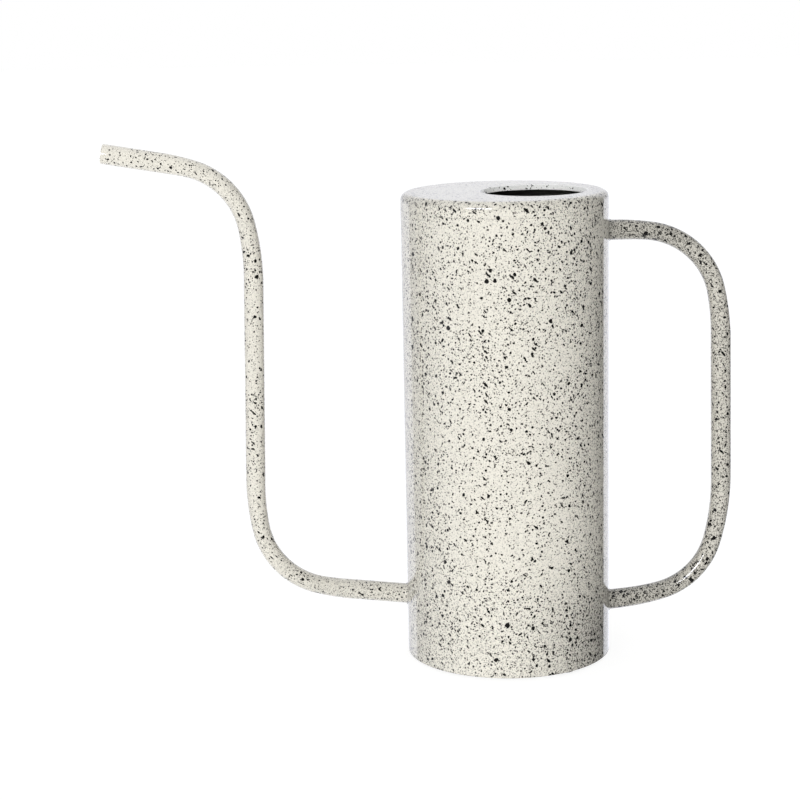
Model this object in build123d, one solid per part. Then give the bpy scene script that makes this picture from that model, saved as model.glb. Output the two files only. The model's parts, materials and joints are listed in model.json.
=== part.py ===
from build123d import *
import math
import os

# Slim watering can: a rolled steel cylinder with a pressed top and base, a long bent spout tube
# and a bent tube handle, welded together and coated. Millimetres and degrees, +Z up. The origin
# is on the cylinder's axis at floor level, the spout points to -X and the handle to +X.

# Body
BODY_DIAMETER = 100.0
BODY_HEIGHT = 228.0  # bottom rim to top face
SHEET = 0.7  # thickness of the shell, the top and the base

# Top plate
SHOULDER_RADIUS = 3.5  # outside radius of the rolled edge
SKIRT_LENGTH = 4.0  # straight part below the rolled edge
FILLER_DIAMETER = 50.0
FILLER_OFFSET = 14.0  # from the cylinder's axis towards the handle
HEM_DEPTH = 2.2  # how far the filler's edge is turned down below the top face
HEM_BEND = 1.0  # outside radius of the turned edge

# Base plate
BASE_RECESS = 1.0  # rim to the plate's underside
BASE_BEND = 1.5  # outside radius between the plate and its flange
BASE_FLANGE = 8.0  # height of the flange, over the underside
BASE_CLEARANCE = 0.05  # flange to shell

# Foot pads
PAD_DIAMETER = 10.0
PAD_THICKNESS = 2.5
PAD_EDGE = 0.6  # rounding of the lower edge
PAD_COUNT = 3
PAD_FIRST_ANGLE = -51.0  # from +X, seen from above
PAD_BEND_GAP = 0.05  # pad to the start of the base plate's bend

# Tubes, both of one stock and bent on one die; their upright runs fit the heights below
TUBE_DIAMETER = 9.7
TUBE_WALL = 0.8
BEND_RADIUS = 37.0  # tight middle of a bend, on the centreline
RUNOUT_RADIUS = 120.0  # softer stretch before and after it
BEND_FLATTENING = 0.92  # width of the bent tube over its diameter, in the plane of the bend
BEND_WIDENING = 1.04  # the same across that plane

# Spout, from the wall to the outlet; turns are lead-in, middle and lead-out
SPOUT_JOINT_HEIGHT = 27.4  # rim to the spout's axis at the wall
SPOUT_RISE = 4.9  # slope of the lower run
SPOUT_LOWER_RUN = 29.3
SPOUT_LOWER_TURNS = (7.0, 67.8, 11.6)
SPOUT_UPPER_TURNS = (13.0, 62.7, 6.1)
SPOUT_OUTLET_RUN = 30.6
SPOUT_OUTLET_LIFT = 20.4  # top face up to the spout's axis at its outlet
SPOUT_STUB = 2.0  # length inside the shell
SPOUT_HOLE_CLEARANCE = 0.1  # tube to the hole in the shell
OUTLET_EDGE = 0.25  # rounding of the outlet's outer edge

# Handle, from its upper joint to its lower one
HANDLE_TOP_DROP = 19.6  # top face down to the handle's axis at the wall
HANDLE_JOINT_HEIGHT = 23.8  # rim to the handle's axis at its lower joint
HANDLE_RISE = 0.2  # slope of the upper run
HANDLE_UPPER_RUN = 5.9
HANDLE_UPPER_TURNS = (6.3, 72.4, 10.8)
HANDLE_LOWER_TURNS = (15.7, 59.0, 9.4)

# Welds
COVE_RADIUS = 1.4  # hollow of the beads where the tubes meet the wall
SEAM_GAP = 0.6  # between the edges of the rolled sheet
SEAM_BEAD_RADIUS = 1.0  # bead on the inside of the lengthwise seam
SEAM_BEAD_MARGIN = 1.5  # bead's ends to the base flange and to the top plate
TOP_GROOVE_DEPTH = 0.4
TOP_GROOVE_HALF_WIDTH = 0.35

# Worked out from the above
BODY_RADIUS = BODY_DIAMETER / 2
BORE_RADIUS = BODY_RADIUS - SHEET
RIM_Z = PAD_THICKNESS - BASE_RECESS
TOP_Z = RIM_Z + BODY_HEIGHT
SHELL_TOP_Z = TOP_Z - SHOULDER_RADIUS - SKIRT_LENGTH
SHELL_HEIGHT = SHELL_TOP_Z - RIM_Z
BASE_Z = RIM_Z + BASE_RECESS
FLANGE_RADIUS = BORE_RADIUS - BASE_CLEARANCE
BASE_FLAT_RADIUS = FLANGE_RADIUS - BASE_BEND
FILLER_RADIUS = FILLER_DIAMETER / 2
PAD_CIRCLE_RADIUS = BASE_FLAT_RADIUS - PAD_BEND_GAP - PAD_DIAMETER / 2
UP = (Align.CENTER, Align.CENTER, Align.MIN)


def round_block(radius, low, high):
    """Upright cylinder on the body's axis between two heights."""
    return Pos(0, 0, low) * Cylinder(radius, high - low, align=UP)


def edges_at(solid, height):
    """The edges of a solid that lie flat at one height."""
    return solid.edges().filter_by_position(Axis.Z, height, height)


def bend(turns, side):
    """One bend as three tangent arcs; side is +1 to the left and -1 to the right."""
    lead_in, middle, lead_out = turns
    return [
        ("runout_in", RUNOUT_RADIUS, side * lead_in),
        ("middle", BEND_RADIUS, side * middle),
        ("runout_out", RUNOUT_RADIUS, side * lead_out),
    ]


def centreline(start, heading, moves):
    """Tangent lines and arcs in the XZ plane, each with the name of its stretch."""
    stretches = []
    for name, size, turn in moves:
        direction = (math.cos(math.radians(heading)), math.sin(math.radians(heading)))
        if name == "run":
            finish = (start[0] + size * direction[0], start[1] + size * direction[1])
            edge = Plane.XZ * Line(start, finish)
        else:
            edge = Plane.XZ * JernArc(start, direction, size, turn)
            finish = ((edge @ 1).X, (edge @ 1).Z)
            heading += turn
        stretches.append((name, edge))
        start = finish
    return stretches


def tube_section(edge, place, diameter, flattened):
    """Section of a tube on its centreline: round in a run, oval in the middle of a bend."""
    plane = Plane(origin=edge @ place, x_dir=(0, 1, 0), z_dir=edge % place)
    if flattened:
        allowance = diameter - TUBE_DIAMETER
        wide = TUBE_DIAMETER * BEND_WIDENING + allowance
        narrow = TUBE_DIAMETER * BEND_FLATTENING + allowance
        return plane * Ellipse(wide / 2, narrow / 2)
    return plane * Circle(diameter / 2)


def swept_rod(stretches, diameter):
    """Solid rod along a centreline, with its bends flattened."""
    rod = None
    for name, edge in stretches:
        start = tube_section(edge, 0, diameter, name in ("middle", "runout_out"))
        if name in ("run", "middle"):
            piece = sweep(start, path=edge)
        else:
            finish = tube_section(edge, 1, diameter, name == "runout_in")
            piece = sweep([start, finish], path=edge, multisection=True)
        rod = piece if rod is None else rod + piece
    return rod


def inside_wall(side, height, heading, depth):
    """Point at a depth inside the wall, on a run that crosses the wall at a height."""
    inward = -side * depth
    return (side * BODY_RADIUS + inward, height + inward * math.tan(math.radians(heading)))


def spout_stretches():
    """The spout's centreline, from the end of its stub inside the shell to its outlet."""
    heading = 180.0 - SPOUT_RISE
    depth = SHEET + SPOUT_STUB
    start = inside_wall(-1, RIM_Z + SPOUT_JOINT_HEIGHT, heading, depth)
    lower_run = depth / math.cos(math.radians(SPOUT_RISE)) + SPOUT_LOWER_RUN
    upright_heading = heading - sum(SPOUT_LOWER_TURNS)

    def stretches(upright_run):
        moves = [("run", lower_run, 0.0)]
        moves += bend(SPOUT_LOWER_TURNS, -1)
        moves += [("run", upright_run, 0.0)]
        moves += bend(SPOUT_UPPER_TURNS, 1)
        moves += [("run", SPOUT_OUTLET_RUN, 0.0)]
        return centreline(start, heading, moves)

    first_try = TUBE_DIAMETER
    missing = TOP_Z + SPOUT_OUTLET_LIFT - (stretches(first_try)[-1][1] @ 1).Z
    return stretches(first_try + missing / math.sin(math.radians(upright_heading)))


def handle_stretches():
    """The handle's centreline, from inside the wall at the top to inside it at the bottom."""
    depth = 2 * SHEET
    start = inside_wall(1, TOP_Z - HANDLE_TOP_DROP, HANDLE_RISE, depth)
    upright_heading = HANDLE_RISE - sum(HANDLE_UPPER_TURNS)
    lower_heading = upright_heading - sum(HANDLE_LOWER_TURNS)
    finish = inside_wall(1, RIM_Z + HANDLE_JOINT_HEIGHT, lower_heading, depth)

    def stretches(upright_run, lower_run):
        moves = [("run", depth + HANDLE_UPPER_RUN, 0.0)]
        moves += bend(HANDLE_UPPER_TURNS, -1)
        moves += [("run", upright_run, 0.0)]
        moves += bend(HANDLE_LOWER_TURNS, -1)
        moves += [("run", lower_run, 0.0)]
        return centreline(start, HANDLE_RISE, moves)

    first_try = TUBE_DIAMETER
    reached = stretches(first_try, first_try)[-1][1] @ 1
    missing = (finish[0] - reached.X, finish[1] - reached.Z)
    upright = (math.cos(math.radians(upright_heading)), math.sin(math.radians(upright_heading)))
    lower = (math.cos(math.radians(lower_heading)), math.sin(math.radians(lower_heading)))
    spread = upright[0] * lower[1] - upright[1] * lower[0]
    more_upright = (missing[0] * lower[1] - missing[1] * lower[0]) / spread
    more_lower = (upright[0] * missing[1] - upright[1] * missing[0]) / spread
    return stretches(first_try + more_upright, first_try + more_lower)


def tube(stretches):
    """Hollow tube along a centreline."""
    return swept_rod(stretches, TUBE_DIAMETER) - swept_rod(stretches, TUBE_DIAMETER - 2 * TUBE_WALL)


def top_weld_ring():
    """Ground butt weld that fills the groove between the shell and the top plate."""
    groove = Polyline(
        (BODY_RADIUS, SHELL_TOP_Z - TOP_GROOVE_HALF_WIDTH),
        (BODY_RADIUS, SHELL_TOP_Z + TOP_GROOVE_HALF_WIDTH),
        (BODY_RADIUS - TOP_GROOVE_DEPTH, SHELL_TOP_Z),
        close=True,
    )
    return revolve(Plane.XZ * make_face(groove), axis=Axis.Z)


def seam_gap_block():
    """The space between the two edges of the rolled sheet, on the handle side."""
    place = Pos(BODY_RADIUS, 0, RIM_Z)
    return place * Box(BODY_RADIUS, SEAM_GAP, SHELL_HEIGHT, align=UP)


def body_shell():
    """Rolled cylinder with its open seam, the spout's hole and a groove for the top weld."""
    shell = round_block(BODY_RADIUS, RIM_Z, SHELL_TOP_Z) - round_block(BORE_RADIUS, RIM_Z, SHELL_TOP_Z)
    shell -= seam_gap_block()
    hole = swept_rod(spout_stretches()[:1], TUBE_DIAMETER + 2 * SPOUT_HOLE_CLEARANCE)
    return shell - hole - top_weld_ring()


def seam_weld():
    """Weld metal of the lengthwise seam, flush outside and a low bead inside."""
    wall = round_block(BODY_RADIUS, RIM_Z, SHELL_TOP_Z) - round_block(BORE_RADIUS, RIM_Z, SHELL_TOP_Z)
    plug = (wall & seam_gap_block()) - top_weld_ring()
    bead_low = BASE_Z + BASE_FLANGE + SEAM_BEAD_MARGIN
    bead_high = SHELL_TOP_Z - SEAM_BEAD_MARGIN
    rod = Cylinder(SEAM_BEAD_RADIUS, bead_high - bead_low, align=UP)
    bead = Pos(BORE_RADIUS, 0, bead_low) * rod
    return plug + (bead & round_block(BORE_RADIUS, RIM_Z, SHELL_TOP_Z))


def top_plate():
    """Pressed top with a rolled shoulder and a filler hole whose edge is turned down."""
    outer = round_block(BODY_RADIUS, SHELL_TOP_Z, TOP_Z)
    outer = fillet(edges_at(outer, TOP_Z), SHOULDER_RADIUS)
    inner = round_block(BORE_RADIUS, SHELL_TOP_Z, TOP_Z - SHEET)
    inner = fillet(edges_at(inner, TOP_Z - SHEET), SHOULDER_RADIUS - SHEET)
    hem_place = Pos(FILLER_OFFSET, 0, TOP_Z - HEM_DEPTH)
    hem = hem_place * Cylinder(FILLER_RADIUS + SHEET, HEM_DEPTH, align=UP)
    hole = hem_place * Cylinder(FILLER_RADIUS, HEM_DEPTH, align=UP)
    plate = (outer - inner) + hem - hole
    lip = edges_at(plate, TOP_Z).sort_by(SortBy.LENGTH)[0]
    plate = fillet(lip, HEM_BEND)
    corner = edges_at(plate, TOP_Z - SHEET).sort_by(SortBy.LENGTH)[0]
    plate = fillet(corner, HEM_BEND - SHEET)
    return plate - top_weld_ring()


def base_outline():
    """Outside of the base plate as a solid block."""
    block = round_block(FLANGE_RADIUS, BASE_Z, BASE_Z + BASE_FLANGE)
    return fillet(edges_at(block, BASE_Z), BASE_BEND)


def base_plate():
    """Pressed bottom disc with an upturned flange."""
    inner = round_block(FLANGE_RADIUS - SHEET, BASE_Z + SHEET, BASE_Z + BASE_FLANGE)
    inner = fillet(edges_at(inner, BASE_Z + SHEET), BASE_BEND - SHEET)
    return base_outline() - inner


def base_weld():
    """Bead that fills the corner between the base plate's bend and the shell."""
    return round_block(BORE_RADIUS, BASE_Z, BASE_Z + BASE_BEND) - base_outline()


def cove_weld(rod, height):
    """Coved bead round a tube where it meets the wall at a given height."""
    reach = 2 * TUBE_DIAMETER
    wall = round_block(BODY_RADIUS, height - reach, height + reach)
    joined = wall + rod
    saddles = []
    for edge in joined.edges():
        middle = edge @ 0.5
        on_wall = abs(math.hypot(middle.X, middle.Y) - BODY_RADIUS) < SHEET / 10
        near = abs(middle.Z - height) < reach / 2 and abs(middle.Y) < reach / 2
        if on_wall and near and edge.length > TUBE_DIAMETER / 2:
            saddles.append(edge)
    return fillet(saddles, COVE_RADIUS) - wall - rod


def foot_pads():
    """Rubber pads stuck to the base plate."""
    pads = []
    for number in range(PAD_COUNT):
        pad = Cylinder(PAD_DIAMETER / 2, PAD_THICKNESS, align=UP)
        pad = fillet(edges_at(pad, 0), PAD_EDGE)
        turn = Rot(0, 0, PAD_FIRST_ANGLE + number * 360.0 / PAD_COUNT)
        pads.append(turn * Pos(PAD_CIRCLE_RADIUS, 0, 0) * pad)
    return Compound(children=pads)


def spout_tube():
    """Spout with the outer edge of its outlet eased."""
    spout = tube(spout_stretches())
    outlet = spout_stretches()[-1][1] @ 1
    circles = spout.edges().filter_by(GeomType.CIRCLE)
    rims = circles.filter_by(lambda edge: (edge.arc_center - outlet).length < TUBE_WALL)
    return fillet(rims.sort_by(SortBy.RADIUS)[-1], OUTLET_EDGE)


def handle_tube():
    """Handle with both ends cut to the wall's curve."""
    return tube(handle_stretches()) - round_block(BODY_RADIUS, RIM_Z, TOP_Z)


def build():
    """Every piece under its node's name."""
    handle_rods = handle_stretches()
    upper_height = (handle_rods[0][1] @ 0).Z
    lower_height = (handle_rods[-1][1] @ 1).Z
    spout_rod = swept_rod(spout_stretches()[:1], TUBE_DIAMETER)
    return {
        "body_shell": body_shell(),
        "seam_weld": seam_weld(),
        "top_plate": top_plate(),
        "top_weld": top_weld_ring(),
        "base_plate": base_plate(),
        "base_weld": base_weld(),
        "spout_tube": spout_tube(),
        "spout_weld": cove_weld(spout_rod, RIM_Z + SPOUT_JOINT_HEIGHT),
        "handle_tube": handle_tube(),
        "handle_upper_weld": cove_weld(swept_rod(handle_rods[:1], TUBE_DIAMETER), upper_height),
        "handle_lower_weld": cove_weld(swept_rod(handle_rods[-1:], TUBE_DIAMETER), lower_height),
        "foot_pads": foot_pads(),
    }


os.makedirs("parts", exist_ok=True)
for node, shape in build().items():
    shape.label = node
    export_step(shape, f"parts/{node}.step")
    print(node, round(shape.volume, 1), "mm3")
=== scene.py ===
"""Slim enamelled watering can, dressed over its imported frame.

Metres, +Z up, the can's axis on Z and its feet on the floor; the spout points to -X and the
handle to +X. Sheet parts are turned outlines, the tubes follow bent centrelines, and the coat is
a cream enamel with black spatter.
"""

import json
import math

import bmesh
import bpy
from bpy.props import FloatProperty, FloatVectorProperty, IntProperty, PointerProperty
from mathutils import Matrix, Vector


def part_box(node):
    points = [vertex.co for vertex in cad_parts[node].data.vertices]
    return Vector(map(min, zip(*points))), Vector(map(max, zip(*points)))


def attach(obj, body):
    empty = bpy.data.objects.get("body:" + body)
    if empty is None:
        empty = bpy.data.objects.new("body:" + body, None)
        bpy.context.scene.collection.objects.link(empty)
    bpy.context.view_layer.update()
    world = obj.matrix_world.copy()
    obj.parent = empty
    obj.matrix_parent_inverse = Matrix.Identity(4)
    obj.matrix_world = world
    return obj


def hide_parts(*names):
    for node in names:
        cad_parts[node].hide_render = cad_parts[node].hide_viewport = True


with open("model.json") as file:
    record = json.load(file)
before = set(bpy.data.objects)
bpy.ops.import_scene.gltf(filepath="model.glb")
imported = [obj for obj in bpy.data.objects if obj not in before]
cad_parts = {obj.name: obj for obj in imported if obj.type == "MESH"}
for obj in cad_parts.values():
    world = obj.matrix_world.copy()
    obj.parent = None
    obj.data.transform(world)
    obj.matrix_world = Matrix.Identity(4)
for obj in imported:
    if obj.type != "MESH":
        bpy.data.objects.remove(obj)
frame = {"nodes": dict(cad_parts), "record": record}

bl_info = {
    "name": "Watering Can",
    "version": (1, 0, 0),
    "blender": (4, 5, 0),
    "location": "View3D > Sidebar > Watering Can",
    "description": "Builds a slim speckled watering can piece by piece",
    "category": "Add Mesh",
}

BODY = "root"
MOUNTS = {mount["name"]: mount for mount in frame["record"]["mounts"]}


# ---- places read from the frame

def low_z(node):
    """Height of a node's lowest point."""
    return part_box(node)[0].z


def high_z(node):
    """Height of a node's highest point."""
    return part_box(node)[1].z


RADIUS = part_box("body_shell")[1].y
RIM_Z = low_z("body_shell")
SHELL_TOP_Z = high_z("body_shell")
TOP_Z = high_z("top_plate")
BASE_Z = low_z("base_plate")
FLANGE_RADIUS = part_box("base_plate")[1].y
FLANGE_TOP_Z = high_z("base_plate")
WELD_LOW_Z = low_z("top_weld")
WELD_TOP_Z = high_z("top_weld")
FILLER_X = MOUNTS["filler_mouth"]["pos_m"][0]
FILLER_RADIUS = MOUNTS["filler_mouth"]["dims"]["r_mm"] / 1000
OUTLET = MOUNTS["spout_outlet"]
TUBE_RADIUS = OUTLET["dims"]["r_mm"] / 1000
OUTLET_END = (Vector(OUTLET["pos_m"])
              + Vector(OUTLET["axis"]) * OUTLET["dims"]["length_mm"] / 2000)
FRONT_PAD = Vector(MOUNTS["front_pad"]["pos_m"])
PAD_TOP_Z = high_z("foot_pads")
GROUND_COAT_Z = FLANGE_TOP_Z - 0.006  # the wall's inner face has its ground coat from here up


# ---- sizes and colours to change

def a_length(name, description, default):
    """A length in metres."""
    return FloatProperty(name=name, description=description, default=default, unit="LENGTH")


def a_number(name, description, default):
    """A plain number, such as a brightness or a ratio."""
    return FloatProperty(name=name, description=description, default=default)


def an_angle(name, description, degrees):
    """An angle, given in degrees."""
    return FloatProperty(
        name=name, description=description, default=math.radians(degrees), subtype="ANGLE")


def a_bend(name, *degrees):
    """The three turns of one bend, given in degrees."""
    return FloatVectorProperty(
        name=name, description="Turns of lead-in, middle and lead-out", size=3,
        default=tuple(map(math.radians, degrees)), subtype="EULER")


def a_colour(name, description, *default):
    """A colour in red, green and blue."""
    return FloatVectorProperty(
        name=name, description=description, size=3, default=default, subtype="COLOR", min=0, max=1)


class CanSheet(bpy.types.PropertyGroup):
    """Sizes of the sheet metal pieces and the pads."""
    sheet: a_length("Sheet", "Thickness of shell, top and base", 0.0007)
    lip: a_length("Lip", "Rounding that the enamel gives a cut edge", 0.0003)
    shoulder: a_length("Shoulder", "Outside radius of the top's rolled edge", 0.0035)
    hem_depth: a_length("Hem depth", "How far the filler's edge turns down", 0.0026)
    hem_run: a_length("Hem run", "How far the filler's edge slopes inwards", 0.0014)
    hem_bend: a_length("Hem bend", "Outside radius where the filler's edge turns down", 0.001)
    groove: a_length("Groove", "Depth of the ground weld under the top's skirt", 0.0004)
    seam_gap: a_length("Seam gap", "Width of the lengthwise weld", 0.0006)
    seam_crown: a_length(
        "Seam crown", "How far the lengthwise weld's flanks sink below its face", 0.00004)
    base_bend: a_length("Base bend", "Outside radius between base and flange", 0.0015)
    pad_radius: a_length("Pad radius", "Radius of a foot pad", 0.005)
    pad_edge: a_length("Pad edge", "Rounding of a foot pad's lower edge", 0.0006)
    pad_rim: a_length("Pad rim", "Rounding of a foot pad's upper edge", 0.00008)
    segments: IntProperty(name="Segments", description="Faces round the body", default=240, min=24)


class CanTubes(bpy.types.PropertyGroup):
    """Sizes of the bent spout and handle and of their welds."""
    bend_radius: a_length("Bend radius", "Centreline radius of a bend's middle", 0.037)
    runout_radius: a_length(
        "Run-out radius", "Centreline radius before and after the middle", 0.12)
    flattening: a_number("Flattening", "Width of the bent tube over its diameter", 0.92)
    widening: a_number("Widening", "The same across the plane of the bend", 1.04)
    wall: a_length("Wall", "Thickness of a tube", 0.0008)
    edge: a_length("Edge", "Rounding of the tubes' cut ends", 0.00025)
    spout_joint: a_length("Spout joint", "Bottom rim up to the spout's axis at the wall", 0.0274)
    handle_drop: a_length(
        "Handle drop", "Top down to the handle's axis at its upper joint", 0.0196)
    handle_joint: a_length(
        "Handle joint", "Bottom rim up to the handle's axis at its lower joint", 0.0238)
    spout_rise: an_angle("Spout rise", "Slope of the spout at the wall", 4.9)
    spout_lower: a_bend("Spout's lower bend", 7.0, 67.8, 11.6)
    spout_upper: a_bend("Spout's upper bend", 13.0, 62.7, 6.1)
    spout_run: a_length("Spout's lower run", "Straight stretch at the spout's joint", 0.0293)
    spout_outlet: a_length("Outlet run", "Straight stretch before the outlet", 0.0306)
    spout_stub: a_length("Stub", "Length of the spout inside the shell", 0.002)
    handle_rise: an_angle("Handle rise", "Slope of the handle at its upper joint", 0.2)
    handle_upper: a_bend("Handle's upper bend", 6.3, 72.4, 10.8)
    handle_lower: a_bend("Handle's lower bend", 15.7, 59.0, 9.4)
    handle_run: a_length("Handle's upper run", "Straight stretch at the upper joint", 0.0059)
    cove: a_length("Cove", "Reach of the weld beads on tube and wall", 0.0014)
    step: a_length("Step", "Length of one step along a bend", 0.0012)
    sides: IntProperty(name="Sides", description="Faces round a tube", default=48, min=8)


class CanFinish(bpy.types.PropertyGroup):
    """Colours of the coat and the pads."""
    cream: a_colour("Cream", "Ground of the enamel", 0.842, 0.812, 0.726)
    # painted light: the whiter ground on the filler's hem stands in for light that its face doesn't
    # get
    edge: a_colour(
        "Edge", "Whiter ground of the enamel on the filler's edge", 0.95, 0.95, 0.93)
    black: a_colour("Spatter", "Specks of the enamel", 0.012, 0.012, 0.011)
    inside: a_colour("Inside", "Ground coat inside the can", 0.100, 0.096, 0.082)
    rubber: a_colour("Rubber", "Foot pads", 0.018, 0.018, 0.018)
    gloss: FloatProperty(
        name="Gloss", description="Roughness of the fired coat", default=0.03, min=0, max=1)


class CanStudio(bpy.types.PropertyGroup):
    """Camera, lights and floor."""
    distance: a_length("Distance", "Camera in front of the can's axis", 1.01132)
    height: a_length("Height", "Camera over the floor", 0.33858)
    pitch: an_angle("Pitch", "Camera's tilt below the horizon", 11.777)
    yaw: an_angle("Yaw", "Camera's turn towards the handle", -2.947)
    roll: an_angle("Roll", "Camera's turn about its own axis", -1.139)
    lens: a_number("Lens", "Focal length in millimetres", 94.992)
    floor: a_length("Floor", "Half the width of the floor", 6.0)
    key: a_number("Key", "Brightness of the tall soft light in front", 2.98)
    key_side: an_angle("Key side", "Turn of the tall light towards the spout", 9.5)
    key_width: an_angle("Key width", "Half the angle that the tall light spans", 24.5)
    ceiling: a_number("Ceiling", "Brightness of the white ceiling", 0.94)
    ground: a_number("Ground", "Brightness of the white ground around", 0.90)
    sides: a_number("Sides", "Brightness of the dark sides of the room", 0.012)
    backdrop: an_angle("Backdrop", "Half the angle that the bright backdrop spans", 37.5)
    mirrored_backdrop: an_angle(
        "Mirrored backdrop", "Half the angle of the backdrop in reflections", 45.1)
    mirrored_side: an_angle(
        "Mirrored side", "Turn of the mirrored backdrop towards the spout", 4.4)
    streak: a_number("Streak", "Brightness of the small lamp that the gloss shows", 17.0)
    streak_side: an_angle("Streak side", "Turn of the small lamp towards the spout", 28.476)
    streak_width: an_angle("Streak width", "Half the angle that the small lamp spans", 14.7603)


# ---- nodes

class Socket:
    """A node's output, with arithmetic that adds Math nodes."""

    def __init__(self, nodes, link):
        self.nodes = nodes
        self.link = link

    def __add__(self, other):
        return self.nodes.math("ADD", self, other)

    def __radd__(self, other):
        return self.nodes.math("ADD", other, self)

    def __sub__(self, other):
        return self.nodes.math("SUBTRACT", self, other)

    def __rsub__(self, other):
        return self.nodes.math("SUBTRACT", other, self)

    def __mul__(self, other):
        return self.nodes.math("MULTIPLY", self, other)

    def __rmul__(self, other):
        return self.nodes.math("MULTIPLY", other, self)

    def __truediv__(self, other):
        return self.nodes.math("DIVIDE", self, other)

    def __rtruediv__(self, other):
        return self.nodes.math("DIVIDE", other, self)


class Nodes:
    """Adds nodes to one tree."""

    def __init__(self, tree):
        self.tree = tree

    def node(self, kind, settings=None, inputs=None, output=0):
        """One new node: its settings first, then the values or links of its sockets."""
        made = self.tree.nodes.new(kind)
        for name, value in (settings or {}).items():
            setattr(made, name, value)
        for name, value in (inputs or {}).items():
            target = made.inputs[name] if isinstance(name, int) else self.find(made.inputs, name)
            if isinstance(value, Socket):
                self.tree.links.new(value.link, target)
            else:
                target.default_value = value
        if output is None:
            return made
        source = made.outputs[output] if isinstance(output, int) else self.find(
            made.outputs, output)
        return Socket(self, source)

    def find(self, sockets, name):
        """The shown socket with this name or identifier."""
        for socket in sockets:
            if socket.enabled and name in (socket.identifier, socket.name):
                return socket
        raise KeyError(f"no socket {name!r} among {[socket.identifier for socket in sockets]}")

    def math(self, operation, *values):
        """A Math node on sockets and numbers."""
        return self.node("ShaderNodeMath", {"operation": operation}, dict(enumerate(values)))

    def smooth_step(self, value, start, end):
        """0 up to the start, 1 from the end, and smooth between them."""
        return self.node(
            "ShaderNodeMapRange", {"interpolation_type": "SMOOTHSTEP"},
            {"Value": value, "From Min": start, "From Max": end, "To Min": 0.0, "To Max": 1.0})

    def mix_colour(self, factor, first, second):
        """A blend of two colours."""
        return self.node(
            "ShaderNodeMix", {"data_type": "RGBA"},
            {"Factor_Float": factor, "A_Color": first, "B_Color": second}, "Result_Color")

    def noise(self, place, scale, detail, output="Fac"):
        """Smooth noise with about this many swells in a metre."""
        return self.node(
            "ShaderNodeTexNoise", None, {"Vector": place, "Scale": scale, "Detail": detail}, output)

    def bump(self, height, strength, distance):
        """A normal that follows a height."""
        return self.node(
            "ShaderNodeBump", None,
            {"Strength": strength, "Distance": distance, "Height": height}, "Normal")

    def parts_of(self, vector):
        """The three numbers of a vector."""
        split = self.node("ShaderNodeSeparateXYZ", None, {"Vector": vector}, None)
        return [Socket(self, socket) for socket in split.outputs]


def new_material(name):
    """An empty node material, its nodes and its output node."""
    material = bpy.data.materials.new(name)
    material.use_nodes = True
    material.node_tree.nodes.clear()
    nodes = Nodes(material.node_tree)
    return material, nodes, nodes.node("ShaderNodeOutputMaterial", output=None)


def finish_shader(nodes, output, shader):
    """Links a shader to the output of its material or world."""
    nodes.tree.links.new(shader.link, output.inputs["Surface"])


def opaque(colour):
    """A colour with full alpha."""
    return (*colour, 1.0)


def between(ends, share):
    """A value that runs from the first end to the second one."""
    low, high = ends
    return low + share * (high - low)


# ---- finishes

SPECK_EDGE = 0.00006
# cell, share of cells with a speck, smallest and largest radius
ROUND_SPECKS = [
    (0.0085, 0.24, 0.00092, 0.00124),
    (0.0052, 0.32, 0.00072, 0.00098),
    (0.0035, 0.36, 0.00056, 0.00076),
    (0.0024, 0.78, 0.00042, 0.00058),
    (0.0016, 0.80, 0.00029, 0.00042),
    (0.00105, 0.85, 0.00019, 0.00030),
]
COARSE_SIZES = 3  # so many of the round sizes, and every long one, count as coarse
# cell, share, smallest and largest half width, stretch, lean from level
LONG_SPECKS = [
    (0.0029, 0.62, 0.00040, 0.00062, 2.8, 0.75),
    (0.0031, 0.36, 0.00034, 0.00050, 2.5, -0.95),
]
WANDER = 0.0012        # how far noise moves a speck's outline
# share of the specks where they are sparse, and what is added where they crowd
CROWD_LEAST, CROWD_RANGE = 0.62, 0.76
CLOUDING = 0.03        # how much lighter and darker the ground is in clouds
# swells of each noise in a metre, and its detail
WANDER_NOISE, CROWD_NOISE, SPRAY_NOISE = (700.0, 1.0), (38.0, 2.0), (1500.0, 1.0)
CLOUD_NOISE, RIPPLE_NOISE = (120.0, 3.0), (210.0, 1.0)
CROWD_EDGE, SPRAY_EDGE = (0.32, 0.68), (0.46, 0.68)

# where the heavier coat, or the body's painted shade, starts and where it is full, along X or up Z
BODY_HANDLE_SIDE = (-0.005, 0.05)
BODY_HANDLE_FLANK = (0.022, 0.038)
# the edge towards the handle, whose greyed ground is painted shade
BODY_SHADE_EDGE = (0.028, 0.048)
BODY_SPOUT_FLANK = (0.022, 0.042)
BODY_FOOT_END = (0.012, 0.065)
BODY_SHOULDER = (0.2240, 0.2275)
BODY_SHOULDER_END = (0.2288, 0.2294)
SPOUT_LOW_RUN = (-0.125, -0.09)
SPOUT_UPRIGHT = (-0.165, -0.135)
HANDLE_LEVEL_END = (0.075, 0.100)


def spatter(nodes, place, cell, chance, smallest, largest):
    """Mask of round specks, one at most in each cell: 1 inside them and 0 between them."""
    voronoi = nodes.node(
        "ShaderNodeTexVoronoi", {"voronoi_dimensions": "3D", "feature": "F1"},
        {"Vector": place, "Scale": 1.0 / cell, "Randomness": 1.0}, None)
    distance = Socket(nodes, voronoi.outputs["Distance"]) * cell
    dice = nodes.node(
        "ShaderNodeSeparateColor", None, {"Color": Socket(nodes, voronoi.outputs["Color"])}, None)
    radius = smallest + Socket(nodes, dice.outputs["Red"]) * (largest - smallest)
    present = nodes.math("LESS_THAN", Socket(nodes, dice.outputs["Green"]), chance)
    return nodes.smooth_step(radius - distance, -SPECK_EDGE, SPECK_EDGE) * present


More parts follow.
